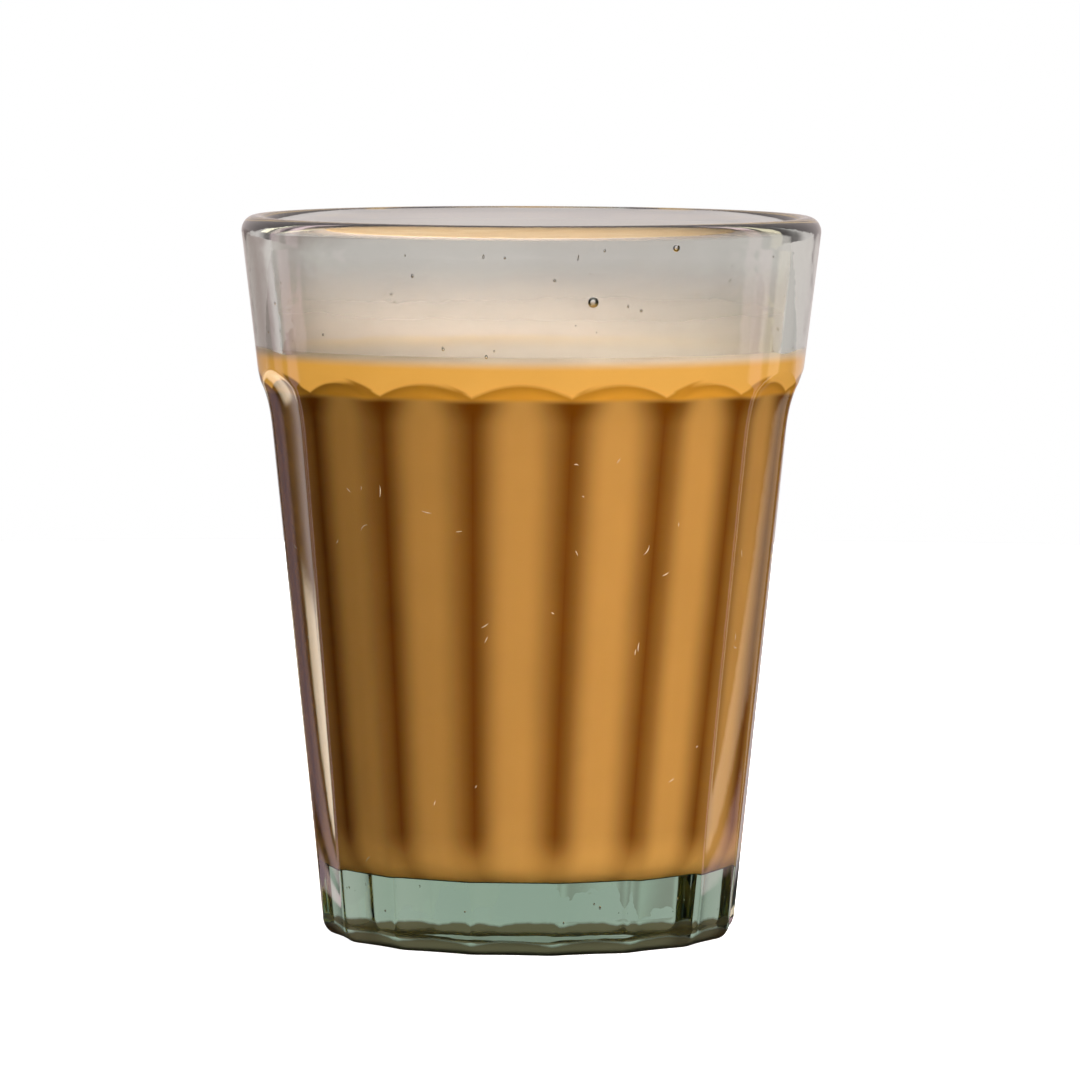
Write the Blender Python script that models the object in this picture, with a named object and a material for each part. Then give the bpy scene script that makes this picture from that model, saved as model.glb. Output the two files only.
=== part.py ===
"""A fluted tea tumbler of pressed glass, filled with milky masala chai.

Metres, +Z up. The origin is the centre of the foot, on the surface that the tumbler stands on.
The middle of one flute faces -Y.
"""

import math

import bmesh
import bpy

MM = 0.001

# Tumbler, outside
HEIGHT = 85.0 * MM
LIP_START = 83.2 * MM  # where the straight walls end and the round lip begins
LIP_RADIUS = 34.2 * MM
BAND_TAPER = 0.12  # radius lost for each unit of depth in the plain band
RIDGE_FOOT_RADIUS = 24.35 * MM  # the ridges' cone, carried down to the foot
RIDGE_TAPER = 0.106
HEEL_HEIGHT = 2.2 * MM
HEEL_INSET = 1.6 * MM

# Flutes
FLUTES = 16
FLUTE_DEPTH_SHARE = 0.025  # of the ridges' radius, at the middle of a flute
RIDGE_ROUNDING = 0.18  # share of a half flute over which its ridge is rounded
RUN_OUT_START = 58.3 * MM  # above this the flutes sweep out to the plain band
CUSP_HEIGHT = 65.5 * MM  # where the ridges reach the plain band
RUN_OUT_POWER = 3.4

# Tumbler, inside
LIP_THICKNESS = 3.3 * MM
FLOOR_HEIGHT = 8.4 * MM
FLOOR_FILLET = 6.0 * MM
BORE_FOOT_RADIUS = 22.0 * MM  # the inner cone, carried down to the foot
BORE_RADIUS = LIP_RADIUS - LIP_THICKNESS

# Underside
FOOT_RECESS_RADIUS = 15.5 * MM
FOOT_RECESS_DEPTH = 0.5 * MM
FOOT_RECESS_EDGE = 3.0 * MM

# Chai
CHAI_LEVEL = 69.4 * MM
CHAI_GAP = 0.3 * MM  # kept clear of the glass on every side
MENISCUS_HEIGHT = 0.5 * MM  # how far the chai climbs the glass at its edge
MENISCUS_WIDTH = 1.6 * MM

# Fineness of the meshes
COLUMNS_PER_FLUTE = 8
CHAI_COLUMNS = 60
FLUTE_RINGS = 3
RUN_OUT_RINGS = 6
LIP_RINGS = 8
FILLET_RINGS = 5
HEEL_RINGS = 3
MENISCUS_RINGS = 3
SMOOTH_ANGLE = math.radians(35)
BISECTIONS = 40


def across_flute(angle):
    """-1 to 1 across the flute at this angle from +X: 0 at its middle, and 1 at the ridges."""
    turns = (angle + math.pi / 2) * FLUTES / (2 * math.pi)
    return 2 * (turns - round(turns))


def hollow(across):
    """How deep the flute's arc is here, from 0 on a ridge to 1 at the middle."""
    side = abs(across)
    flank = 1 - RIDGE_ROUNDING
    if side <= flank:
        depth = 1 - side**2
    else:
        rounded = (side - flank) / RIDGE_ROUNDING
        drop = 2 * flank * RIDGE_ROUNDING * (rounded - rounded**2 / 2)
        depth = 1 - flank**2 - drop
    return (depth - RIDGE_ROUNDING) / (1 - RIDGE_ROUNDING)


def ridge_radius(z):
    return RIDGE_FOOT_RADIUS + RIDGE_TAPER * z


def band_radius(z):
    return LIP_RADIUS - BAND_TAPER * (LIP_START - z)


def bore_radius(z):
    return BORE_FOOT_RADIUS + (BORE_RADIUS - BORE_FOOT_RADIUS) * z / LIP_START


def flute_radius(z, across):
    """The outside of a flute, with the sweep that carries it out past the plain band."""
    radius = ridge_radius(z) * (1 - FLUTE_DEPTH_SHARE * hollow(across))
    if z <= RUN_OUT_START:
        return radius
    share = (z - RUN_OUT_START) / (CUSP_HEIGHT - RUN_OUT_START)
    ridge_gap = band_radius(CUSP_HEIGHT) - ridge_radius(CUSP_HEIGHT)
    return radius + ridge_gap * share**RUN_OUT_POWER


def arch_height(across):
    """The height where the flute meets the plain band: highest at the flute's middle."""
    low, high = RUN_OUT_START, LIP_START
    for _ in range(BISECTIONS):
        middle = (low + high) / 2
        if flute_radius(middle, across) < band_radius(middle):
            low = middle
        else:
            high = middle
    return (low + high) / 2


def flute_ring(z):
    return lambda angle: (flute_radius(z, across_flute(angle)), z)


def run_out_ring(share):
    """A ring that follows the arches, share of the way from the run-out's start up to them."""

    def place(angle):
        across = across_flute(angle)
        z = RUN_OUT_START + share * (arch_height(across) - RUN_OUT_START)
        return flute_radius(z, across), z

    return place


def heel_ring(share):
    """Share 0 is the foot's edge on the table, and 1 the top of the heel's quarter round."""
    turn = share * math.pi / 2
    z = HEEL_HEIGHT * (1 - math.cos(turn))
    inset = HEEL_INSET * (1 - math.sin(turn))

    def place(angle):
        return flute_radius(HEEL_HEIGHT, across_flute(angle)) - inset, z

    return place


def round_ring(radius, z):
    return lambda angle: (radius, z)


def lip_ring(share):
    """Share 0 is the lip's outer side and 1 its inner side, over the top between them."""
    turn = share * math.pi
    radius = (LIP_RADIUS + BORE_RADIUS + LIP_THICKNESS * math.cos(turn)) / 2
    return round_ring(radius, LIP_START + (HEIGHT - LIP_START) * math.sin(turn))


def fillet_rings(gap):
    """The quarter round between the inner wall and the floor, top to bottom, gap inside the glass."""
    top = FLOOR_HEIGHT + FLOOR_FILLET
    centre = bore_radius(top) - FLOOR_FILLET
    radius = FLOOR_FILLET - gap
    rings = []
    for step in range(FILLET_RINGS + 1):
        turn = step / FILLET_RINGS * math.pi / 2
        rings.append(
            round_ring(centre + radius * math.cos(turn), top - radius * math.sin(turn))
        )
    return rings


def tumbler_rings():
    """Every ring of the tumbler, from inside the foot's recess, round the outside and down the bore."""
    rings = [round_ring(FOOT_RECESS_RADIUS - FOOT_RECESS_EDGE, FOOT_RECESS_DEPTH)]
    rings += [round_ring(FOOT_RECESS_RADIUS, 0)]
    rings += [heel_ring(step / HEEL_RINGS) for step in range(HEEL_RINGS + 1)]
    rings += [flute_ring(RUN_OUT_START * step / FLUTE_RINGS) for step in range(1, FLUTE_RINGS + 1)]
    rings += [run_out_ring(step / RUN_OUT_RINGS) for step in range(1, RUN_OUT_RINGS + 1)]
    band_middle = (CUSP_HEIGHT + LIP_START) / 2
    rings += [round_ring(band_radius(band_middle), band_middle)]
    rings += [lip_ring(step / LIP_RINGS) for step in range(LIP_RINGS + 1)]
    rings += [round_ring(bore_radius(CHAI_LEVEL), CHAI_LEVEL)]
    rings += fillet_rings(0)
    return rings


def chai_rings():
    """Every ring of the chai, from its middle out over the meniscus and down inside the glass."""
    edge = bore_radius(CHAI_LEVEL) - CHAI_GAP
    rings = []
    for step in range(MENISCUS_RINGS + 1):
        share = step / MENISCUS_RINGS
        climb = MENISCUS_HEIGHT * share**2
        rings.append(round_ring(edge - MENISCUS_WIDTH * (1 - share), CHAI_LEVEL + climb))
    return rings + fillet_rings(CHAI_GAP)


def loft(name, rings, columns):
    """A closed solid made by extruding a circle from ring to ring, with flat ends."""
    form = bmesh.new()
    bmesh.ops.create_circle(form, cap_ends=True, radius=1, segments=columns)
    front = -math.pi / 2  # a column stands in the middle of the flute that faces -Y
    loop = sorted(form.verts, key=lambda vertex: math.atan2(vertex.co.y, vertex.co.x))
    angles = [front + 2 * math.pi * step / columns for step in range(columns)]
    place_loop(loop, angles, rings[0])
    for ring in rings[1:]:
        edges = [
            form.edges.get((vertex, loop[index - 1])) for index, vertex in enumerate(loop)
        ]
        grown = bmesh.ops.extrude_edge_only(form, edges=edges)["geom"]
        new = {item for item in grown if isinstance(item, bmesh.types.BMVert)}
        loop = [
            next(edge.other_vert(vertex) for edge in vertex.link_edges
                 if edge.other_vert(vertex) in new)
            for vertex in loop
        ]
        place_loop(loop, angles, ring)
    form.faces.new(loop)
    bmesh.ops.recalc_face_normals(form, faces=form.faces)
    mesh = bpy.data.meshes.new(name)
    form.to_mesh(mesh)
    form.free()
    mesh.shade_smooth()
    mesh.set_sharp_from_angle(angle=SMOOTH_ANGLE)
    solid = bpy.data.objects.new(name, mesh)
    bpy.context.scene.collection.objects.link(solid)
    return solid


def place_loop(loop, angles, ring):
    for vertex, angle in zip(loop, angles):
        radius, z = ring(angle)
        vertex.co = (radius * math.cos(angle), radius * math.sin(angle), z)


def finish(solid, colour, roughness, transmission):
    material = bpy.data.materials.new(solid.name)
    material.use_nodes = True
    shader = material.node_tree.nodes["Principled BSDF"]
    shader.inputs["Base Color"].default_value = (*colour, 1)
    shader.inputs["Roughness"].default_value = roughness
    shader.inputs["Metallic"].default_value = 0
    shader.inputs["Transmission Weight"].default_value = transmission
    solid.data.materials.append(material)


def clear_scene():
    for item in list(bpy.data.objects):
        bpy.data.objects.remove(item, do_unlink=True)


def main():
    clear_scene()
    tumbler = loft("glass_tumbler", tumbler_rings(), FLUTES * COLUMNS_PER_FLUTE)
    finish(tumbler, colour=(0.72, 0.78, 0.74), roughness=0.03, transmission=1)
    chai = loft("masala_chai", chai_rings(), CHAI_COLUMNS)
    finish(chai, colour=(0.50, 0.25, 0.07), roughness=0.2, transmission=0)


main()
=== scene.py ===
"""The looks of a fluted tea tumbler of pressed glass, full of milky masala chai.

Metres, +Z up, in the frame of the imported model. The middle of one flute faces -Y.
"""

import math
import random

import bmesh
import bpy
from bpy.props import FloatProperty, FloatVectorProperty, IntProperty, PointerProperty
from mathutils import Matrix, Quaternion, Vector, noise


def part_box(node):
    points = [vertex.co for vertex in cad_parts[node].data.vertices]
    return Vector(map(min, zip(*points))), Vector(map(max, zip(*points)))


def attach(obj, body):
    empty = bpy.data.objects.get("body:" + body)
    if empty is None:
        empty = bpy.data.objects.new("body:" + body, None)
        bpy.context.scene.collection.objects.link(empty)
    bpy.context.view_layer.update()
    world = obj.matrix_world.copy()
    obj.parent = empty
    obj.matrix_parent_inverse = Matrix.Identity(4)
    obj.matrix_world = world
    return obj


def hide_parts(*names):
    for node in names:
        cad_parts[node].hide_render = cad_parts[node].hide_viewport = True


bl_info = {
    "name": "Masala Chai Tumbler",
    "version": (1, 0, 0),
    "blender": (4, 5, 0),
    "location": "View3D > Sidebar > Chai",
    "description": "Dresses the packed model of a fluted tumbler of masala chai",
    "category": "Add Mesh",
}

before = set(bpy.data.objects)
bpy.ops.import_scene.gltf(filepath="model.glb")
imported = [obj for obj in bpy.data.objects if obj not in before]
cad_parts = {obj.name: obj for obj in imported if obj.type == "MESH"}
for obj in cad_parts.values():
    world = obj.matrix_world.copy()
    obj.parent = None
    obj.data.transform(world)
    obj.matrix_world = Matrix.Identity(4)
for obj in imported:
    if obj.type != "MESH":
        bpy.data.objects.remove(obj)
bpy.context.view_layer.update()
GLASS_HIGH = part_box("glass_tumbler")[1]
CHAI_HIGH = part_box("masala_chai")[1]

BODY = "root"
MM = 0.001
QUARTER = math.pi / 2
FRONT = -QUARTER  # the angle from +X at which the middle of a flute faces -Y

# Fineness of the meshes
COLUMNS_PER_FLUTE = 28
CHAI_COLUMNS = 240
FILM_COLUMNS = 160
TABLE_SIDES = 128
RECESS_RINGS = 8
HEEL_RINGS = 8
FLUTE_RINGS = 28
RUN_OUT_RINGS = 14
BAND_RINGS = 9
ARCH_RINGS = [0.02, 0.05]  # two more in the band, close over the arches, as shares of its height
LIP_RINGS = 20
BORE_RINGS = 36
FILLET_RINGS = 12
SURFACE_RINGS = 14
SURFACE_MIDDLE = 0.1  # radius of the innermost ring on the chai, as a share of the whole
MENISCUS_RINGS = 8
CHAI_RINGS = 60
FILM_RINGS = 12
BISECTIONS = 30

# The waves of the pressed surface: their size along X, Y and Z, where they start in the noise, and their
# share of the waviness
WAVES = [
    ((9 * MM, 9 * MM, 26 * MM), 3.1, 1.0),
    ((2.2 * MM, 2.2 * MM, 9 * MM), 7.7, 0.1),
]

# The two large seeds: degrees round from the front, height and radius
LARGE_SEEDS = [(17.6, 76.3 * MM, 0.62 * MM), (34.9, 82.4 * MM, 0.42 * MM)]
LARGE_SEED_DEPTH = 1.3 * MM
LARGE_SEED_DETAIL = 4
# Fine seeds: how many, their lowest and highest, and how deep they lie
FINE_SEEDS = [(58, 69.5 * MM, 82.6 * MM, 1.0 * MM), (30, 2.8 * MM, 8.0 * MM, 1.6 * MM)]
FINE_SEED_RADIUS = (0.07 * MM, 0.2 * MM)
FINE_SEED_STRETCH = (1.0, 1.5)
FINE_SEED_DETAIL = 2
SEEDS_DRAW = 11

# Scuffs on the flutes
SCUFFS = 90
SCUFF_LENGTH = (0.3 * MM, 1.8 * MM)
SCUFF_WIDTH = 0.11 * MM
SCUFF_LIFT = 0.03 * MM
SCUFF_SINK = 0.02 * MM
SCUFF_BEND = 0.6  # the most that a scuff turns along its length, in radians
SCUFF_STEPS = 6
SCUFFS_DRAW = 5

# The chai's open surface is what faces up this much, and lies no further than this under its level
TOP_FACING = 0.3
TOP_DROP = 0.1 * MM


def linear(hex_colour):
    """The linear red, green and blue of an sRGB hex colour."""
    parts = [int(hex_colour[start:start + 2], 16) / 255 for start in (1, 3, 5)]
    return [part / 12.92 if part <= 0.04045 else ((part + 0.055) / 1.055) ** 2.4 for part in parts]


def metres(name, description, default):
    """A length that the user can change."""
    return FloatProperty(name=name, description=description, default=default, unit="LENGTH", precision=5)


def colour(name, description, hex_colour):
    """A colour that the user can change."""
    return FloatVectorProperty(
        name=name, description=description, default=linear(hex_colour), subtype="COLOR", size=3
    )


class TumblerSizes(bpy.types.PropertyGroup):
    """The pressed tumbler."""

    height: metres("Height", "From the table to the top of the lip", GLASS_HIGH.z)
    lip_radius: metres("Lip radius", "Outer radius where the lip begins", GLASS_HIGH.x)
    lip_depth: metres("Lip depth", "Height of the lip's half round", 1.8 * MM)
    lip_thickness: metres("Lip thickness", "Thickness of the glass where the lip begins", 3.3 * MM)
    band_taper: FloatProperty(
        name="Band taper", description="Radius lost for each unit of depth in the plain band", default=0.12
    )
    ridge_foot_radius: metres("Ridge foot radius", "The ridges' cone, carried down to the foot", 24.35 * MM)
    ridge_taper: FloatProperty(
        name="Ridge taper", description="Radius that the ridges gain for each unit of height", default=0.106
    )
    flutes: IntProperty(name="Flutes", description="How many flutes go round the glass", default=16, min=3)
    flute_depth: FloatProperty(
        name="Flute depth", description="Depth of a flute's middle, as a share of the ridges' radius",
        default=0.025, subtype="FACTOR",
    )
    flute_lean: FloatProperty(
        name="Flute lean", description="How far the flutes turn between the foot and the plain band",
        default=math.radians(3.0), subtype="ANGLE",
    )
    ridge_rounding: FloatProperty(
        name="Ridge rounding", description="Share of a half flute over which its ridge is rounded",
        default=0.18, subtype="FACTOR",
    )
    run_out_start: metres("Run-out start", "Height above which the flutes sweep out", 58.3 * MM)
    cusp_height: metres("Cusp height", "Height where the ridges reach the plain band", 65.5 * MM)
    run_out_power: FloatProperty(
        name="Run-out power", description="How late and how sharply the flutes sweep out", default=3.4
    )
    heel_height: metres("Heel height", "Height of the heel's quarter round", 2.2 * MM)
    heel_inset: metres("Heel inset", "Width of the heel's quarter round", 1.6 * MM)
    floor_height: metres("Floor height", "Thickness of the glass under the chai", 8.4 * MM)
    floor_fillet: metres("Floor fillet", "Radius between the bore and the floor", 6.0 * MM)
    bore_foot_radius: metres("Bore foot radius", "The bore's cone, carried down to the foot", 22.0 * MM)
    recess_radius: metres("Recess radius", "Radius of the hollow under the foot", 15.5 * MM)
    recess_depth: metres("Recess depth", "Depth of the hollow under the foot", 0.5 * MM)
    recess_edge: metres("Recess edge", "Width of the slope round the hollow", 3.0 * MM)
    waviness: metres("Waviness", "How far the pressed surface wanders from true", 0.035 * MM)


class ChaiSizes(bpy.types.PropertyGroup):
    """The chai in the tumbler."""

    meniscus_height: metres("Meniscus height", "How far the chai climbs the glass", 0.5 * MM)
    meniscus_width: metres("Meniscus width", "How far in the climb begins", 1.6 * MM)
    overlap: metres("Overlap", "How far the chai reaches into the glass, so that no air shows", 0.06 * MM)
    film_height: metres("Film height", "How far up the glass the milky film reaches", 10.8 * MM)
    film_gap: metres("Film gap", "How far inside the bore the film lies", 0.08 * MM)


class GlassColours(bpy.types.PropertyGroup):
    """The colours of the tumbler."""

    clear: colour("Clear", "Clean glass, where it is thin", "#FBFCFB")
    # Painted shade: the heel's dark colour, over a heel that is ground dull by use
    worn_and_shaded: colour("Worn", "The heel, ground dull by use", "#6A5038")
    tint: colour("Tint", "What is left of white light in thick glass", "#30BA86")
    tint_density: FloatProperty(
        name="Tint density", description="How fast the glass takes its tint as it gets thicker", default=19
    )
    chip_dark: colour("Dark chip", "Scratches, where they are darkest", "#A98F66")
    chip_pale: colour("Pale chip", "Scratches, where they are palest", "#E4D3B4")


class ChaiColours(bpy.types.PropertyGroup):
    """The colours of the chai."""

    flute: colour("Flute", "Chai behind the middle of a flute", "#BD8A48")
    # Painted shade: the dark lines behind the ridges, and the dark rim under the arches
    line: colour("Line", "Chai behind a ridge", "#623301")
    # Painted shadow: the dark line round the chai's foot
    foot: colour("Foot", "The dark line round the chai's foot", "#343B28")
    arch: colour("Arch", "Chai just under the arches", "#CE8C2E")
    # Painted light: the band over the arches, in the glow colour, also shines by emission in the scattered
    # light's colour
    glow: colour("Glow", "Chai just under its surface", "#805D36")
    scattered: colour("Scattered light", "Light that comes out under the surface, from above", "#D2963E")
    top: colour("Top", "The surface of the chai", "#C9A983")
    skin: colour("Skin", "Cream that gathers on the surface", "#D3B896")
    film: colour("Film", "The milky film that the chai leaves on the glass", "#D0BEB3")


class StudioSettings(bpy.types.PropertyGroup):
    """The camera, the table and the light."""

    camera_distance: metres("Camera distance", "From the tumbler's axis to the lens, over the table", 0.927)
    camera_height: metres("Camera height", "From the table to the lens", 118.4 * MM)
    camera_azimuth: FloatProperty(
        name="Camera azimuth", description="How far the lens is turned round the tumbler",
        default=math.radians(5.0), subtype="ANGLE",
    )
    camera_roll: FloatProperty(
        name="Camera roll", description="How far the camera is tipped over to its left",
        default=math.radians(0.2), subtype="ANGLE",
    )
    aim_height: metres("Aim height", "Height of the middle of the picture, at the axis", 46.6 * MM)
    aim_side: metres("Aim side", "How far right of the axis the picture's middle is", 1.15 * MM)
    lens: FloatProperty(name="Lens", description="Focal length in millimetres", default=261.8)
    near: metres("Near", "Nearest that the camera sees", 100 * MM)
    far: metres("Far", "Furthest that the camera sees", 10)
    table_radius: metres("Table radius", "Radius of the round table top", 0.60)
    table: colour("Table", "The pale table", "#F6F5F3")
    table_dark: colour("Dark table", "The table in the glass, away from its pale stretches", "#141312")
    table_behind: colour("Table behind", "The table behind, as it shows through the foot", "#D0C5C5")
    table_glow: colour("Table glow", "The table, as it lights the chai from below", "#9A958F")
    gleam: colour("Gleam", "What the ridges at the sides mirror", "#D3B4BC")
    cream: colour("Cream", "What the flutes at the sides mirror", "#E2D3B8")
    room_low: colour("Room below", "The room near and under the horizon", "#2A2826")
    room_high: colour("Room above", "The room overhead", "#68696A")


class ChaiTumbler(bpy.types.PropertyGroup):
    """Everything that a user would change."""

    tumbler: PointerProperty(type=TumblerSizes)
    glass: PointerProperty(type=GlassColours)
    chai: PointerProperty(type=ChaiSizes)
    colours: PointerProperty(type=ChaiColours)
    studio: PointerProperty(type=StudioSettings)


def chosen():
    """The sizes and colours that are set in the scene."""
    return bpy.context.scene.chai_tumbler


# Shapes


def across_flute(angle, flutes):
    """-1 to 1 across the flute at this angle from +X: 0 at its middle, and 1 at the ridges."""
    turns = (angle - FRONT) * flutes / (2 * math.pi)
    return 2 * (turns - round(turns))


def hollow(across, rounding):
    """How deep the flute's arc is here, from 0 on a ridge to 1 at the middle."""
    side = abs(across)
    flank = 1 - rounding
    if side <= flank:
        depth = 1 - side**2
    else:
        rounded = (side - flank) / rounding
        depth = 1 - flank**2 - 2 * flank * rounding * (rounded - rounded**2 / 2)
    return (depth - rounding) / flank


class Profile:
    """The tumbler's outline, worked out from its sizes."""

    def __init__(self, own):
        self.own = own
        self.lip_start = own.height - own.lip_depth
        self.bore_top = own.lip_radius - own.lip_thickness

    def ridge(self, z):
        return self.own.ridge_foot_radius + self.own.ridge_taper * z

    def band(self, z):
        return self.own.lip_radius - self.own.band_taper * (self.lip_start - z)

    def bore(self, z):
        foot = self.own.bore_foot_radius
        return foot + (self.bore_top - foot) * z / self.lip_start

    def flute(self, z, across):
        """The outside of a flute, with the sweep that carries it out past the plain band."""
        own = self.own
        radius = self.ridge(z) * (1 - own.flute_depth * hollow(across, own.ridge_rounding))
        if z <= own.run_out_start:
            return radius
        share = (z - own.run_out_start) / (own.cusp_height - own.run_out_start)
        ridge_gap = self.band(own.cusp_height) - self.ridge(own.cusp_height)
        return radius + ridge_gap * share**own.run_out_power

    def arch(self, across):
        """The height where the flute meets the plain band: highest at the flute's middle."""
        low, high = self.own.run_out_start, self.lip_start
        for _ in range(BISECTIONS):
            middle = (low + high) / 2
            if self.flute(middle, across) < self.band(middle):
                low = middle
            else:
                high = middle
        return (low + high) / 2

    def lean(self, z):
        """How far the flutes have turned at this height."""
        return self.own.flute_lean * min(z / self.own.cusp_height, 1)


def steps(count, first=0, last=1, skip_first=False):
    """count + 1 even steps from first to last, or count without the first."""
    return [first + (last - first) * step / count for step in range(int(skip_first), count + 1)]


def columns_round(count):
    """The angles of evenly spaced columns, the first of them at the front."""
    return [FRONT + 2 * math.pi * step / count for step in range(count)]


def tumbler_rings(profile, angles):
    """Every ring of the tumbler, from the recess round the outside, over the lip and down the bore."""
    own = profile.own
    acrosses = [across_flute(angle, own.flutes) for angle in angles]
    arches = [profile.arch(across) for across in acrosses]
    rings = []

    def plain(radius, z):
        rings.append([(radius, z)] * len(angles))

    for share in steps(RECESS_RINGS):
        slope = (1 + math.cos(math.pi * share)) / 2
        plain(own.recess_radius - own.recess_edge * (1 - share), own.recess_depth * slope)
    for share in steps(HEEL_RINGS):
        turn = share * QUARTER
        z = own.heel_height * (1 - math.cos(turn))
        inset = own.heel_inset * (1 - math.sin(turn))
        rings.append([(profile.flute(own.heel_height, across) - inset, z) for across in acrosses])
    for z in steps(FLUTE_RINGS, own.heel_height, own.run_out_start, skip_first=True):
        rings.append([(profile.flute(z, across), z) for across in acrosses])
    for share in steps(RUN_OUT_RINGS, skip_first=True):
        ring = []
        for across, arch in zip(acrosses, arches):
            z = own.run_out_start + share * (arch - own.run_out_start)
            ring.append((profile.flute(z, across), z))
        rings.append(ring)
    for share in [*ARCH_RINGS, *steps(BAND_RINGS, skip_first=True)]:
        ring = []
        for arch in arches:
            z = arch + share * (profile.lip_start - arch)
            ring.append((profile.band(z), z))
        rings.append(ring)
    for share in steps(LIP_RINGS, skip_first=True):
        turn = share * math.pi
        radius = (own.lip_radius + profile.bore_top + own.lip_thickness * math.cos(turn)) / 2
        plain(radius, profile.lip_start + own.lip_depth * math.sin(turn))
    top = own.floor_height + own.floor_fillet
    for z in steps(BORE_RINGS, profile.lip_start, top, skip_first=True):
        plain(profile.bore(z), z)
    centre = profile.bore(top) - own.floor_fillet
    for share in steps(FILLET_RINGS, skip_first=True):
        turn = share * QUARTER
        plain(centre + own.floor_fillet * math.cos(turn), top - own.floor_fillet * math.sin(turn))
    return rings


def chai_rings(profile, chai, angles):
    """Every ring of the chai, from its middle over the meniscus and down the wall to the floor."""
    level = CHAI_HIGH.z - chai.meniscus_height
    edge = profile.bore(level) + chai.overlap
    start = edge - chai.meniscus_width
    rings = [[(start * share, level)] * len(angles) for share in steps(SURFACE_RINGS, SURFACE_MIDDLE, 1)]
    for share in steps(MENISCUS_RINGS, skip_first=True):
        climb = chai.meniscus_height * share**2
        rings.append([(start + chai.meniscus_width * share, level + climb)] * len(angles))
    top = profile.own.floor_height + profile.own.floor_fillet
    for z in steps(CHAI_RINGS, level, top, skip_first=True):
        rings.append([(profile.bore(z) + chai.overlap, z)] * len(angles))
    centre = profile.bore(top) - profile.own.floor_fillet
    radius = profile.own.floor_fillet + chai.overlap
    for share in steps(FILLET_RINGS, skip_first=True):
        turn = share * QUARTER
        corner = (centre + radius * math.cos(turn), top - radius * math.sin(turn))
        rings.append([corner] * len(angles))
    return rings


def film_rings(profile, chai, angles):
    """Every ring of the film, a single skin just inside the bore, from the chai up."""
    level = CHAI_HIGH.z - chai.meniscus_height
    return [
        [(profile.bore(z) - chai.film_gap, z)] * len(angles)
        for z in steps(FILM_RINGS, level + chai.meniscus_height / 2, level + chai.film_height)
    ]


def loft(form, rings, angles, lean, closed=True):
    """A skin over the rings, with a flat end at the first and at the last if it is closed."""
    loops = []
    for ring in rings:
        loop = []
        for angle, (radius, z) in zip(angles, ring):
            turn = angle + lean(z)
            loop.append(form.verts.new((radius * math.cos(turn), radius * math.sin(turn), z)))
        loops.append(loop)
    for low, high in zip(loops, loops[1:]):
        for index in range(len(angles)):
            form.faces.new((low[index - 1], low[index], high[index], high[index - 1]))
    if closed:
        form.faces.new(loops[0])
        form.faces.new(loops[-1])
    bmesh.ops.recalc_face_normals(form, faces=form.faces)


def roughen(form, amplitude, grain, start):
    """Moves each point in or out by smooth noise, whose grain is its size along X, Y and Z."""
    for vertex in form.verts:
        place = Vector([part / size for part, size in zip(vertex.co, grain)])
        outward = Vector((vertex.co.x, vertex.co.y, 0))
        if outward.length > 0:
            vertex.co += outward.normalized() * amplitude * noise.noise(place + Vector((start, 0, 0)))


def seed(form, turn, z, distance, radius, stretch, detail):
    """A seed is a bubble in the glass: a small round skin that faces inwards, drawn out upwards."""
    place = Matrix.Translation((distance * math.cos(turn), distance * math.sin(turn), z))
    size = Matrix.Diagonal((radius, radius, radius * stretch, 1))
    made = bmesh.ops.create_icosphere(form, subdivisions=detail, radius=1, matrix=place @ size)
    faces = {face for vertex in made["verts"] for face in vertex.link_faces}
    bmesh.ops.reverse_faces(form, faces=list(faces))


def seeds(form, profile):
    """Two large seeds in the plain band, and fine ones all round the band and the foot."""
    for degrees, z, radius in LARGE_SEEDS:
        distance = profile.band(z) - LARGE_SEED_DEPTH
        seed(form, FRONT + math.radians(degrees), z, distance, radius, 1.0, LARGE_SEED_DETAIL)
    draw = random.Random(SEEDS_DRAW)
    for count, low, high, depth in FINE_SEEDS:
        outer = profile.band if low > profile.own.cusp_height else profile.ridge
        for _ in range(count):
            z = draw.uniform(low, high)
            radius = draw.triangular(*FINE_SEED_RADIUS, FINE_SEED_RADIUS[0])
            turn = draw.uniform(-math.pi, math.pi)
            stretch = draw.uniform(*FINE_SEED_STRETCH)
            seed(form, turn, z, outer(z) - depth, radius, stretch, FINE_SEED_DETAIL)


def scuff(form, profile, turn, z, length, heading, bend):
    """A fine raised sliver on the outside of the glass, pointed at both ends."""
    sections = []
    for share in steps(SCUFF_STEPS, -0.5, 0.5):
        along = heading + bend * share
        width = SCUFF_WIDTH / 2 * math.cos(math.pi * share)
        middle_z = z + length * share * math.sin(along)
        corners = []
        for side in (-1, 0, 1):
            point_z = middle_z + side * width * math.cos(along)
            reach = length * share * math.cos(along) - side * width * math.sin(along)
            angle = turn + reach / profile.ridge(z)
            across = across_flute(angle - profile.lean(point_z), profile.own.flutes)
            outer = profile.flute(point_z, across)
            outer += SCUFF_LIFT * math.cos(math.pi * share) if side == 0 else -SCUFF_SINK
            corners.append(form.verts.new((outer * math.cos(angle), outer * math.sin(angle), point_z)))
        sections.append(corners)
    for low, high in zip(sections, sections[1:]):
        for index in range(3):
            form.faces.new((low[index - 1], low[index], high[index], high[index - 1]))
    form.faces.new(sections[0])
    form.faces.new(sections[-1])


def piece(name, form, node, materials):
    """Turns the form into an object that rides on the model, and stands for a node if one is given."""
    mesh = bpy.data.meshes.new(name)
    form.to_mesh(mesh)
    form.free()
    mesh.shade_smooth()
    for material in materials:
        mesh.materials.append(material)
    made = bpy.data.objects.new(name, mesh)
    bpy.context.scene.collection.objects.link(made)
    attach(made, BODY)
    if node:
        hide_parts(node)


# Materials

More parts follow.
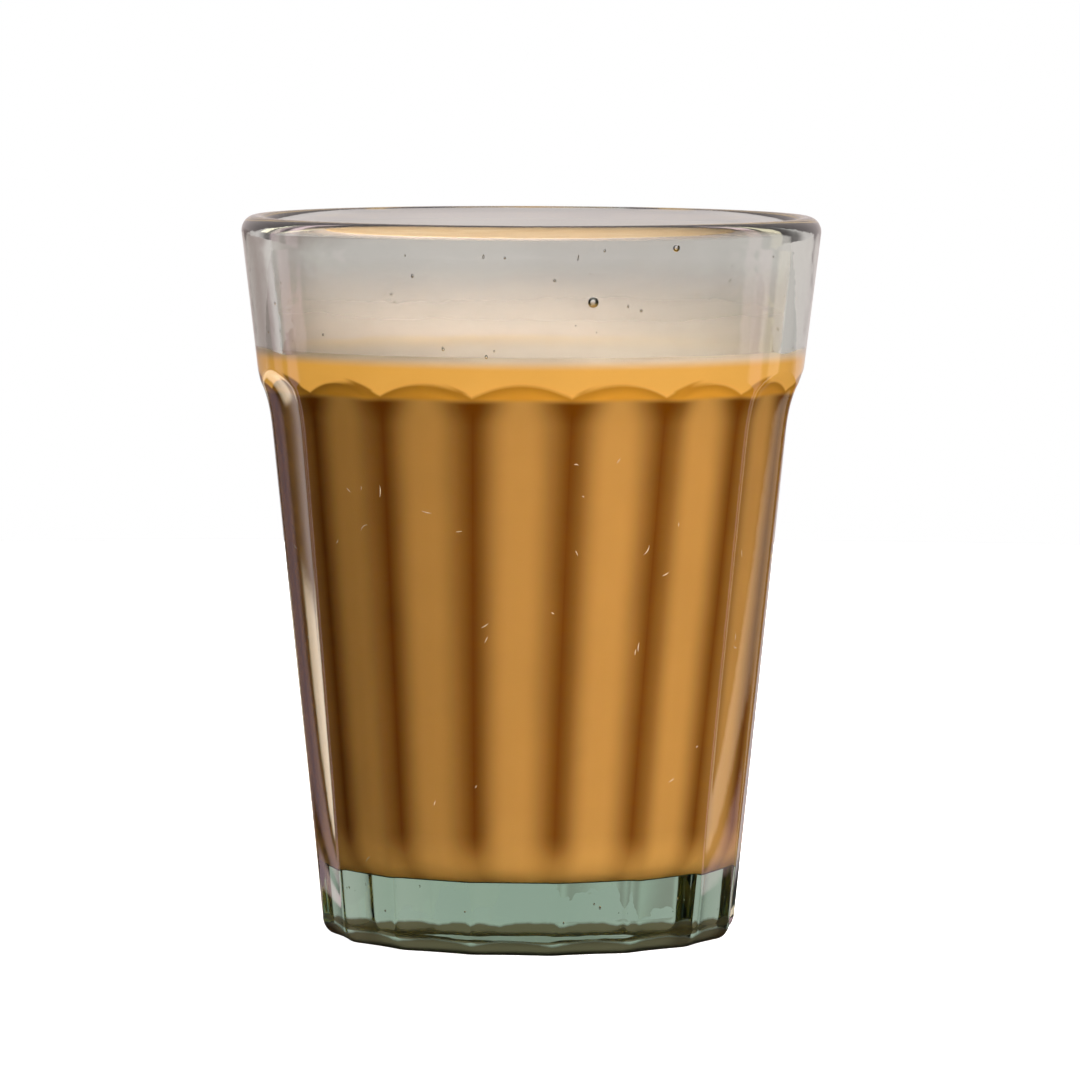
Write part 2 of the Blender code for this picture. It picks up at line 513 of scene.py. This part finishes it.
SMOOTH = {"interpolation_type": "SMOOTHSTEP"}
COLOURS = {"data_type": "RGBA"}
BLACK = (0, 0, 0, 1)
WHITE = (1, 1, 1, 1)
NOISE_RANGE = (0.3, 0.7)  # between these lie nearly all the values of a noise
GLASS_IOR = 1.52
CHAI_IOR = 1.34

# How far across the real patterns are, from which the scales of the noises are worked out
DIMPLES = 3.85 * MM  # the faint unevenness that a mould leaves on glass
HEEL_BAND_PATCHES = 1.43 * MM
CHIP_GRAIN = 0.4 * MM  # coarser than the real broken facets, which are too fine to show
CLOUDS = 7.7 * MM  # milk, not quite evenly stirred
CREAM_DRIFTS = 11.1 * MM
FILM_DRIFTS = 14.3 * MM
LAMINATE_GRAIN = 1.11 * MM  # coarser than the real grain, which is too fine to show

# Where the dark lines of painted shade on the chai begin and are full, in flutes across: a ridge is at 0.5
# and at -0.5
LINE_BEFORE = (0.07, 0.58)
LINE_AFTER = (-0.09, -0.55)
LINE_FAN = 4.0 * MM  # the stretch under the arches over which the lines widen
LINE_FAN_WIDTH = 0.09
LINE_START = 0.9 * MM  # how far under the cusps the lines are full
ARCH_RISE = 1.6 * MM  # from the cusps up to the crests of the arches
ARCH_EDGE = 0.22 * MM
ARCH_RIM = 1.5 * MM  # the dark brown rim of painted shade along the underside of the arches
ARCH_RIM_SHARE = 0.42
ARCH_FADE = 0.8 * MM
TOP_FADE = (1.6 * MM, 0.1 * MM)  # under the chai's edge, where the side begins to pale and is palest
TOP_SHARE = 0.85
LOW_LIFT = 1.9  # how much paler the chai is at the floor, where the light comes through the thick foot
LOW_LINE = 0.33  # how much of the lines is left at the floor
# Over the floor, where the painted shadow round the chai's foot begins and is full
FOOT_LINE = (0.2 * MM, 0.05 * MM)
CLOUD_SHADE = 0.03  # how much the clouds darken and lighten the chai

# The open surface of the chai
CREAM_RANGE = (0.45, 0.75)  # where in the noise the cream begins and is full
WET_ROUGHNESS = 0.06
CREAM_ROUGHNESS = 0.16

# The heel of the glass: dull from wear, and painted dark as painted shade
HEEL_TOP = 1.9 * MM
HEEL_SCALLOP = 0.5 * MM  # how much lower the dull band of painted shade reaches at the ridges
HEEL_EDGE = 0.25 * MM
HEEL_ROUGHNESS = 0.35

# The film over the chai
FILM_WANDER = 0.6 * MM
FILM_DENSE = 1.0 * MM  # above the chai, up to where the film is at its thickest
FILM_COVER = 0.66


def add(tree, kind, settings=None, inputs=None):
    """Adds a node with its settings.

    Its inputs go by their names or places, and take a value, a socket or another node.
    """
    node = tree.nodes.new("ShaderNode" + kind)
    for name, value in (settings or {}).items():
        setattr(node, name, value)
    live = [socket for socket in node.inputs if socket.enabled]
    for key, value in (inputs or {}).items():
        socket = live[key] if isinstance(key, int) else next(each for each in live if each.name == key)
        if isinstance(value, bpy.types.Node):
            value = next(each for each in value.outputs if each.enabled)
        if isinstance(value, bpy.types.NodeSocket):
            tree.links.new(value, socket)
        else:
            socket.default_value = value
    return node


def new_material(name):
    """A material with an empty node tree."""
    material = bpy.data.materials.new(name)
    material.use_nodes = True
    material.node_tree.nodes.clear()
    return material, material.node_tree


def flute_place(tree, place, own):
    """The height here, and how far across its flute it is, from -0.5 on one ridge to 0.5 on the next."""
    parts = add(tree, "SeparateXYZ", None, {"Vector": place})
    per_flute = own.flutes / (2 * math.pi)
    turn = add(tree, "Math", {"operation": "ARCTAN2"}, {0: parts.outputs["Y"], 1: parts.outputs["X"]})
    leaning = add(tree, "Math", {"operation": "MINIMUM"}, {0: parts.outputs["Z"], 1: own.cusp_height})
    upright = add(tree, "Math", {"operation": "MULTIPLY_ADD"}, {
        0: leaning, 1: -own.flute_lean / own.cusp_height, 2: turn})
    turns = add(tree, "Math", {"operation": "MULTIPLY_ADD"}, {
        0: upright, 1: per_flute, 2: -FRONT * per_flute})
    nearest = add(tree, "Math", {"operation": "ROUND"}, {0: turns})
    return parts.outputs["Z"], add(tree, "Math", {"operation": "SUBTRACT"}, {0: turns, 1: nearest})


def pressed_glass(own, colours):
    """Soda-lime glass, pressed in a mould.

    It bends what is behind it, turns grey-green where it is thick, and its faint dimples make what it
    mirrors waver. Its heel is ground dull by use and painted dark as painted shade, in a band that is
    lowest at the ridges.
    """
    material, tree = new_material("pressed soda-lime glass")
    place = add(tree, "TexCoord").outputs["Object"]
    dimples = add(tree, "TexNoise", None, {"Vector": place, "Scale": 1 / DIMPLES, "Detail": 2})
    relief = add(tree, "Bump", None, {"Height": dimples, "Strength": 0.04, "Distance": 0.4 * MM})
    z, across = flute_place(tree, place, own)
    scallop = add(tree, "Math", {"operation": "MULTIPLY"}, {0: across, 1: across})
    patches = add(tree, "TexNoise", None, {"Vector": place, "Scale": 1 / HEEL_BAND_PATCHES, "Detail": 3})
    wander = add(tree, "Math", {"operation": "MULTIPLY_ADD"}, {0: patches, 1: HEEL_EDGE, 2: z})
    over_heel = add(tree, "Math", {"operation": "MULTIPLY_ADD"}, {
        0: scallop, 1: 4 * HEEL_SCALLOP, 2: wander})
    # Painted shade: the heel band is painted dark, and the same band is rough from wear
    worn_and_shaded = add(tree, "MapRange", SMOOTH, {
        "Value": over_heel, "From Min": HEEL_TOP + HEEL_EDGE, "From Max": HEEL_TOP - HEEL_EDGE})
    shade = add(tree, "Mix", COLOURS, {
        "Factor": worn_and_shaded, "A": (*colours.clear, 1), "B": (*colours.worn_and_shaded, 1)})
    dull = add(tree, "Math", {"operation": "MULTIPLY"}, {0: worn_and_shaded, 1: HEEL_ROUGHNESS})
    glass = add(tree, "BsdfPrincipled", None, {
        "Base Color": shade, "Roughness": dull, "IOR": GLASS_IOR, "Transmission Weight": 1.0,
        "Normal": relief})
    tint = add(tree, "VolumeAbsorption", None, {
        "Color": (*colours.tint, 1), "Density": colours.tint_density})
    add(tree, "OutputMaterial", None, {"Surface": glass, "Volume": tint})
    return material


def chipped_glass(colours):
    """Soda-lime glass, scratched and chipped by use: its rough broken edges scatter light, so look pale."""
    material, tree = new_material("chipped soda-lime glass")
    place = add(tree, "TexCoord").outputs["Object"]
    grain = add(tree, "TexNoise", None, {"Vector": place, "Scale": 1 / CHIP_GRAIN, "Detail": 2})
    shade = add(tree, "Mix", COLOURS, {
        "Factor": grain, "A": (*colours.chip_dark, 1), "B": (*colours.chip_pale, 1)})
    glass = add(tree, "BsdfPrincipled", None, {"Base Color": shade, "Roughness": 0.5, "IOR": GLASS_IOR})
    add(tree, "OutputMaterial", None, {"Surface": glass})
    return material


def chai_side(colours, own):
    """Milky tea against the glass.

    The milk makes it opaque and matt. Over the arches it glows by emission: painted light for the light
    that falls in from above. The ridges keep light off the chai behind them, and soft dark lines of painted
    shade down it stand for that. A painted shadow runs round its foot, which is painted paler for the light
    that comes through the thick glass.
    """
    material, tree = new_material("milky chai against glass")
    place = add(tree, "TexCoord").outputs["Object"]
    z, across = flute_place(tree, place, own)

    # The painted shade behind the ridges: dark lines, which open out in a fan under the arches
    fan = add(tree, "MapRange", SMOOTH, {
        "Value": z, "From Min": own.cusp_height - LINE_FAN, "From Max": own.cusp_height,
        "To Max": LINE_FAN_WIDTH})
    sides = []
    for operation, (first, last) in (("ADD", LINE_BEFORE), ("SUBTRACT", LINE_AFTER)):
        widened = add(tree, "Math", {"operation": operation}, {0: across, 1: fan})
        sides.append(add(tree, "MapRange", SMOOTH, {"Value": widened, "From Min": first, "From Max": last}))
    line = add(tree, "Math", {"operation": "MAXIMUM"}, {0: sides[0], 1: sides[1]})
    under_cusps = add(tree, "MapRange", SMOOTH, {
        "Value": z, "From Min": own.cusp_height, "From Max": own.cusp_height - LINE_START})
    over_floor = add(tree, "MapRange", SMOOTH, {
        "Value": z, "From Min": own.floor_height, "From Max": own.floor_height + own.floor_fillet,
        "To Min": LOW_LINE})
    for share in (under_cusps, over_floor):
        line = add(tree, "Math", {"operation": "MULTIPLY"}, {0: line, 1: share})

    # The height over the arches, which bow up between the cusps
    squared = add(tree, "Math", {"operation": "MULTIPLY"}, {0: across, 1: across})
    bowed = add(tree, "Math", {"operation": "MULTIPLY_ADD"}, {0: squared, 1: 4 * ARCH_RISE, 2: z})
    over_arch = add(tree, "Math", {"operation": "SUBTRACT"}, {0: bowed, 1: own.cusp_height + ARCH_RISE})
    near_arch = add(tree, "MapRange", SMOOTH, {
        "Value": z, "From Min": own.cusp_height - ARCH_FADE, "From Max": own.cusp_height})
    # Painted shade: a dark rim under the arches, in the colour of the lines
    rim = add(tree, "MapRange", SMOOTH, {
        "Value": over_arch, "From Min": -ARCH_RIM, "From Max": 0, "To Max": ARCH_RIM_SHARE})
    glow = add(tree, "MapRange", SMOOTH, {
        "Value": over_arch, "From Min": -ARCH_EDGE, "From Max": ARCH_EDGE})
    edge = add(tree, "MapRange", SMOOTH, {
        "Value": z, "From Min": CHAI_HIGH.z - TOP_FADE[0], "From Max": CHAI_HIGH.z - TOP_FADE[1],
        "To Max": TOP_SHARE})
    # Painted shadow: a dark line round the chai's foot
    foot = add(tree, "MapRange", SMOOTH, {
        "Value": z, "From Min": own.floor_height + FOOT_LINE[0],
        "From Max": own.floor_height + FOOT_LINE[1]})

    # The colours, one over the other, with painted shade and painted light among them, then the clouds and
    # the foot, painted paler for the light through the thick glass
    paint = (*colours.flute, 1)
    layers = [(near_arch, colours.arch), (rim, colours.line), (glow, colours.glow), (edge, colours.film),
              (line, colours.line), (foot, colours.foot)]
    for share, layer in layers:
        paint = add(tree, "Mix", COLOURS, {"Factor": share, "A": paint, "B": (*layer, 1)})
    cloud = add(tree, "TexNoise", None, {"Vector": place, "Scale": 1 / CLOUDS, "Detail": 3})
    shade = add(tree, "MapRange", None, {
        "Value": cloud, "From Min": NOISE_RANGE[0], "From Max": NOISE_RANGE[1],
        "To Min": 1 - CLOUD_SHADE, "To Max": 1 + CLOUD_SHADE})
    lift = add(tree, "MapRange", SMOOTH, {
        "Value": z, "From Min": own.floor_height, "From Max": own.floor_height + own.floor_fillet,
        "To Min": LOW_LIFT, "To Max": 1.0})
    for factor in (shade, lift):
        paint = add(tree, "VectorMath", {"operation": "SCALE"}, {"Vector": paint, "Scale": factor})

    # Painted light: an emission over the arches stands for the light that falls in from above and comes out
    # again there
    scattered = add(tree, "Mix", COLOURS, {"Factor": glow, "A": BLACK, "B": (*colours.scattered, 1)})
    scattered = add(tree, "Mix", COLOURS, {"Factor": edge, "A": scattered, "B": BLACK})
    chai = add(tree, "BsdfPrincipled", None, {
        "Base Color": paint, "Roughness": 0.6, "IOR": CHAI_IOR, "Specular IOR Level": 0.0,
        "Emission Color": scattered, "Emission Strength": 1.0})
    add(tree, "OutputMaterial", None, {"Surface": chai})
    return material


def chai_top(colours):
    """The open surface of milky tea: wet and smooth, so it shines, but for faint drifts of cream."""
    material, tree = new_material("milky chai surface")
    place = add(tree, "TexCoord").outputs["Object"]
    drift = add(tree, "TexNoise", None, {
        "Vector": place, "Scale": 1 / CREAM_DRIFTS, "Detail": 4, "Distortion": 1.2})
    cream = add(tree, "MapRange", SMOOTH, {
        "Value": drift, "From Min": CREAM_RANGE[0], "From Max": CREAM_RANGE[1]})
    paint = add(tree, "Mix", COLOURS, {"Factor": cream, "A": (*colours.top, 1), "B": (*colours.skin, 1)})
    gloss = add(tree, "MapRange", None, {
        "Value": cream, "To Min": WET_ROUGHNESS, "To Max": CREAM_ROUGHNESS})
    ripple = add(tree, "Bump", None, {"Height": drift, "Strength": 0.1, "Distance": 0.3 * MM})
    chai = add(tree, "BsdfPrincipled", None, {
        "Base Color": paint, "Roughness": gloss, "IOR": CHAI_IOR, "Normal": ripple})
    add(tree, "OutputMaterial", None, {"Surface": chai})
    return material


def milky_film(chai, film):
    """Milk dried on glass that the chai has washed: a pale matt haze that thins out upwards unevenly."""
    material, tree = new_material("milky film")
    place = add(tree, "TexCoord").outputs["Object"]
    z = add(tree, "SeparateXYZ", None, {"Vector": place}).outputs["Z"]
    drift = add(tree, "TexNoise", None, {
        "Vector": place, "Scale": 1 / FILM_DRIFTS, "Detail": 4, "Roughness": 0.6})
    wander = add(tree, "MapRange", None, {
        "Value": drift, "From Min": NOISE_RANGE[0], "From Max": NOISE_RANGE[1],
        "To Min": -FILM_WANDER, "To Max": FILM_WANDER})
    level = CHAI_HIGH.z - chai.meniscus_height
    height = add(tree, "Math", {"operation": "ADD"}, {0: z, 1: wander})
    thinning = add(tree, "MapRange", None, {
        "Value": height, "From Min": level + chai.film_height - FILM_WANDER,
        "From Max": level + FILM_DENSE, "To Max": FILM_COVER})
    cream = add(tree, "BsdfPrincipled", None, {
        "Base Color": (*film, 1), "Roughness": 0.5, "IOR": 1.45, "Specular IOR Level": 0.2,
        "Alpha": thinning})
    add(tree, "OutputMaterial", None, {"Surface": cream})
    return material


# Where the table glows to the glass: pale stretches of emission, painted light that the glass mirrors as
# streaks and thin lines. A row holds the direction from the camera's side, positive to its right, how far
# to each side of it the pale stretch ends and is full, all in degrees, how far out it reaches, its colour
# and its strength.
PALE_TABLE = [
    (180, 42, 28, 600 * MM, "behind", 1.0),  # shows through the thick foot
    (-143, 6, 3, 280 * MM, "cream", 2.2),  # the streak down the flute at the left edge
    (-130, 6, 2, 600 * MM, "gleam", 0.7),  # and a fainter one beside it
    (-116, 6, 2, 600 * MM, "gleam", 1.5),  # the thin lines down the ridges at the left
    (106, 6, 2, 600 * MM, "gleam", 1.5),  # and at the right
    (120, 6, 3, 600 * MM, "cream", 1.3),  # the streak down the flute at the right edge
]
PALE_TABLE_EDGE = 60 * MM  # how softly a pale stretch ends
# Distances from the axis at which the pale table under the foot ends and is full, and its strength
UNDER_FOOT = (22 * MM, 17 * MM)
UNDER_FOOT_STRENGTH = 0.5


def table_top(studio):
    """Matt laminate: pale and without shine, and lit evenly for the camera.

    The glass mirrors it dark, but for its pale stretches, which glow by emission: painted light that the
    glass shows as streaks and thin lines.
    """
    material, tree = new_material("matt laminate")
    place = add(tree, "TexCoord").outputs["Object"]
    grain = add(tree, "TexNoise", None, {"Vector": place, "Scale": 1 / LAMINATE_GRAIN, "Detail": 2})
    relief = add(tree, "Bump", None, {"Height": grain, "Strength": 0.1, "Distance": 0.1 * MM})
    path = add(tree, "LightPath")
    camera_ray = path.outputs["Is Camera Ray"]
    lights = add(tree, "MapRange", None, {"Value": path.outputs["Diffuse Depth"]})
    seen = add(tree, "Math", {"operation": "SUBTRACT"}, {0: 1.0, 1: lights})
    paint = (*studio.table_dark, 1)
    for share, shown in ((lights, studio.table_glow), (camera_ray, studio.table)):
        paint = add(tree, "Mix", COLOURS, {"Factor": share, "A": paint, "B": (*shown, 1)})
    distance = add(tree, "VectorMath", {"operation": "LENGTH"}, {"Vector": place})
    outward = add(tree, "VectorMath", {"operation": "NORMALIZE"}, {"Vector": place})
    shades = {"behind": studio.table_behind, "cream": studio.cream, "gleam": studio.gleam}
    under = add(tree, "MapRange", SMOOTH, {
        "Value": distance, "From Min": UNDER_FOOT[0], "From Max": UNDER_FOOT[1],
        "To Max": UNDER_FOOT_STRENGTH})
    pale = add(tree, "VectorMath", {"operation": "SCALE"}, {
        "Vector": studio.table_behind, "Scale": under})
    for azimuth, end, full, reach, shade, strength in PALE_TABLE:
        turn = FRONT + studio.camera_azimuth + math.radians(azimuth)
        facing = add(tree, "VectorMath", {"operation": "DOT_PRODUCT"}, {
            0: outward, 1: (math.cos(turn), math.sin(turn), 0)})
        sector = add(tree, "MapRange", SMOOTH, {
            "Value": facing, "From Min": math.cos(math.radians(end)),
            "From Max": math.cos(math.radians(full)), "To Max": strength})
        within = add(tree, "MapRange", SMOOTH, {
            "Value": distance, "From Min": reach + PALE_TABLE_EDGE, "From Max": reach})
        share = add(tree, "Math", {"operation": "MULTIPLY"}, {0: sector, 1: within})
        light = add(tree, "VectorMath", {"operation": "SCALE"}, {
            "Vector": shades[shade], "Scale": share})
        pale = add(tree, "VectorMath", {"operation": "ADD"}, {0: pale, 1: light})
    pale = add(tree, "Mix", COLOURS, {"Factor": camera_ray, "A": pale, "B": WHITE})
    laminate = add(tree, "BsdfPrincipled", None, {
        "Base Color": paint, "Roughness": 0.7, "Specular IOR Level": 0.2, "Normal": relief})
    even = add(tree, "Emission", None, {"Color": pale, "Strength": seen})
    lit = add(tree, "AddShader", None, {0: laminate, 1: even})
    add(tree, "OutputMaterial", None, {"Surface": lit})
    return material


# Light

MIRRORED = 0.05  # how bright the key light is in the glass, as a share of how bright it is as a light
ROOM_FADE = (-0.1, 0.9)  # upwards, from -1 to 1: where the room begins to pale and is palest

# Azimuth from the camera's side, positive to its right, then elevation, half width and softness in degrees,
# colour, strength, and the share of it that glass mirrors. The dark screen takes light away.
SOFT_BOXES = [
    ("key", 27, 31, 28, 16, "#FFFBF4", 11.6, MIRRORED),
    ("backdrop", 181, 0, 66, 16, "#D9CDCB", 1.0, 1.0),
    ("dark screen", -158, -18, 18, 4, "#FFFFFF", -0.34, 1.0),
]


def studio_light(studio):
    """Pure white behind the object for the camera, and a grey room with soft boxes for all the rest."""
    world = bpy.data.worlds.new("soft studio")
    world.use_nodes = True
    tree = world.node_tree
    tree.nodes.clear()
    way = add(tree, "TexCoord").outputs["Generated"]
    height = add(tree, "SeparateXYZ", None, {"Vector": way}).outputs["Z"]
    upwards = add(tree, "MapRange", SMOOTH, {
        "Value": height, "From Min": ROOM_FADE[0], "From Max": ROOM_FADE[1]})
    room = add(tree, "Mix", COLOURS, {
        "Factor": upwards, "A": (*studio.room_low, 1), "B": (*studio.room_high, 1)})
    path = add(tree, "LightPath")
    for name, azimuth, elevation, half_width, softness, hex_colour, strength, mirrored in SOFT_BOXES:
        turn = FRONT + studio.camera_azimuth + math.radians(azimuth)
        rise = math.radians(elevation)
        aim = (math.cos(rise) * math.cos(turn), math.cos(rise) * math.sin(turn), math.sin(rise))
        facing = add(tree, "VectorMath", {"operation": "DOT_PRODUCT", "label": name}, {0: way, 1: aim})
        spread = add(tree, "MapRange", SMOOTH, {
            "Value": facing,
            "From Min": math.cos(math.radians(half_width + softness)),
            "From Max": math.cos(math.radians(half_width - softness))})
        share = add(tree, "MapRange", None, {
            "Value": path.outputs["Diffuse Depth"], "To Min": mirrored})
        seen = add(tree, "Math", {"operation": "MULTIPLY"}, {0: spread, 1: share})
        light = add(tree, "VectorMath", {"operation": "SCALE"}, {
            "Vector": [part * strength for part in linear(hex_colour)], "Scale": seen})
        room = add(tree, "VectorMath", {"operation": "ADD"}, {0: room, 1: light})
    lit = add(tree, "Background", None, {"Color": room})
    backdrop = add(tree, "Background", None, {"Color": WHITE, "Strength": 1.0})
    shown = add(tree, "MixShader", None, {0: path.outputs["Is Camera Ray"], 1: lit, 2: backdrop})
    add(tree, "OutputWorld", None, {"Surface": shown})
    return world


# Operators


class CHAI_OT_tumbler(bpy.types.Operator):
    """Press the tumbler, with its seeds"""

    bl_idname = "chai.tumbler"
    bl_label = "Pressed tumbler"

    def execute(self, context):
        own = chosen().tumbler
        profile = Profile(own)
        angles = columns_round(own.flutes * COLUMNS_PER_FLUTE)
        form = bmesh.new()
        loft(form, tumbler_rings(profile, angles), angles, profile.lean)
        for grain, start, share in WAVES:
            roughen(form, own.waviness * share, grain, start)
        seeds(form, profile)
        piece("tumbler", form, "glass_tumbler", [pressed_glass(own, chosen().glass)])
        return {"FINISHED"}


class CHAI_OT_scuffs(bpy.types.Operator):
    """Scatter fine scratches and chips over the flutes"""

    bl_idname = "chai.scuffs"
    bl_label = "Scuffs"

    def execute(self, context):
        own = chosen().tumbler
        profile = Profile(own)
        draw = random.Random(SCUFFS_DRAW)
        form = bmesh.new()
        for _ in range(SCUFFS):
            turn = draw.uniform(-math.pi, math.pi)
            z = draw.triangular(own.floor_height, own.run_out_start, own.run_out_start)
            length = draw.triangular(*SCUFF_LENGTH, SCUFF_LENGTH[0])
            heading = draw.uniform(0, math.pi)
            bend = draw.uniform(-SCUFF_BEND, SCUFF_BEND)
            scuff(form, profile, turn, z, length, heading, bend)
        bmesh.ops.recalc_face_normals(form, faces=form.faces)
        piece("scuffs", form, None, [chipped_glass(chosen().glass)])
        return {"FINISHED"}


class CHAI_OT_chai(bpy.types.Operator):
    """Pour the chai"""

    bl_idname = "chai.chai"
    bl_label = "Masala chai"

    def execute(self, context):
        own = chosen()
        profile = Profile(own.tumbler)
        angles = columns_round(CHAI_COLUMNS)
        form = bmesh.new()
        loft(form, chai_rings(profile, own.chai, angles), angles, profile.lean)
        level = CHAI_HIGH.z - own.chai.meniscus_height
        for face in form.faces:
            if face.normal.z > TOP_FACING and face.calc_center_median().z > level - TOP_DROP:
                face.material_index = 1
        materials = [chai_side(own.colours, own.tumbler), chai_top(own.colours)]
        piece("chai", form, "masala_chai", materials)
        return {"FINISHED"}


class CHAI_OT_film(bpy.types.Operator):
    """Leave the film of milk on the glass"""

    bl_idname = "chai.film"
    bl_label = "Milky film"

    def execute(self, context):
        own = chosen()
        profile = Profile(own.tumbler)
        angles = columns_round(FILM_COLUMNS)
        form = bmesh.new()
        loft(form, film_rings(profile, own.chai, angles), angles, profile.lean, closed=False)
        piece("milky_film", form, None, [milky_film(own.chai, own.colours.film)])
        return {"FINISHED"}


class CHAI_OT_studio(bpy.types.Operator):
    """Set up the table, the light and the camera"""

    bl_idname = "chai.studio"
    bl_label = "Studio"

    def execute(self, context):
        studio = chosen().studio
        form = bmesh.new()
        bmesh.ops.create_circle(form, cap_ends=True, radius=studio.table_radius, segments=TABLE_SIDES)
        mesh = bpy.data.meshes.new("table_top")
        form.to_mesh(mesh)
        form.free()
        mesh.materials.append(table_top(studio))
        table = bpy.data.objects.new("table_top", mesh)
        context.scene.collection.objects.link(table)

        context.scene.world = studio_light(studio)
        context.scene.view_settings.view_transform = "Standard"

        turn = FRONT + studio.camera_azimuth
        outward = Vector((math.cos(turn), math.sin(turn), 0))
        sideways = Vector((-outward.y, outward.x, 0))
        lens = bpy.data.cameras.new("camera")
        lens.lens = studio.lens
        lens.clip_start = studio.near
        lens.clip_end = studio.far
        camera = bpy.data.objects.new("camera", lens)
        camera.location = outward * studio.camera_distance + Vector((0, 0, studio.camera_height))
        aim = sideways * studio.aim_side + Vector((0, 0, studio.aim_height))
        level = (aim - camera.location).to_track_quat("-Z", "Y")
        camera.rotation_euler = (level @ Quaternion((0, 0, 1), studio.camera_roll)).to_euler()
        context.scene.collection.objects.link(camera)
        context.scene.camera = camera
        return {"FINISHED"}


class CHAI_PT_panel(bpy.types.Panel):
    """Lists the pieces of the tumbler of chai"""

    bl_label = "Masala chai"
    bl_idname = "CHAI_PT_panel"
    bl_space_type = "VIEW_3D"
    bl_region_type = "UI"
    bl_category = "Chai"

    def draw(self, context):
        for operator in OPERATORS:
            self.layout.operator(operator.bl_idname)


OPERATORS = [CHAI_OT_tumbler, CHAI_OT_scuffs, CHAI_OT_chai, CHAI_OT_film, CHAI_OT_studio]
GROUPS = [TumblerSizes, GlassColours, ChaiSizes, ChaiColours, StudioSettings, ChaiTumbler]
CLASSES = [*GROUPS, *OPERATORS, CHAI_PT_panel]


def register():
    for each in CLASSES:
        bpy.utils.register_class(each)
    bpy.types.Scene.chai_tumbler = PointerProperty(type=ChaiTumbler)


def unregister():
    del bpy.types.Scene.chai_tumbler
    for each in reversed(CLASSES):
        bpy.utils.unregister_class(each)


def main():
    register()
    bpy.ops.chai.tumbler()
    bpy.ops.chai.scuffs()
    bpy.ops.chai.chai()
    bpy.ops.chai.film()
    bpy.ops.chai.studio()


if __name__ == "__main__":
    main()
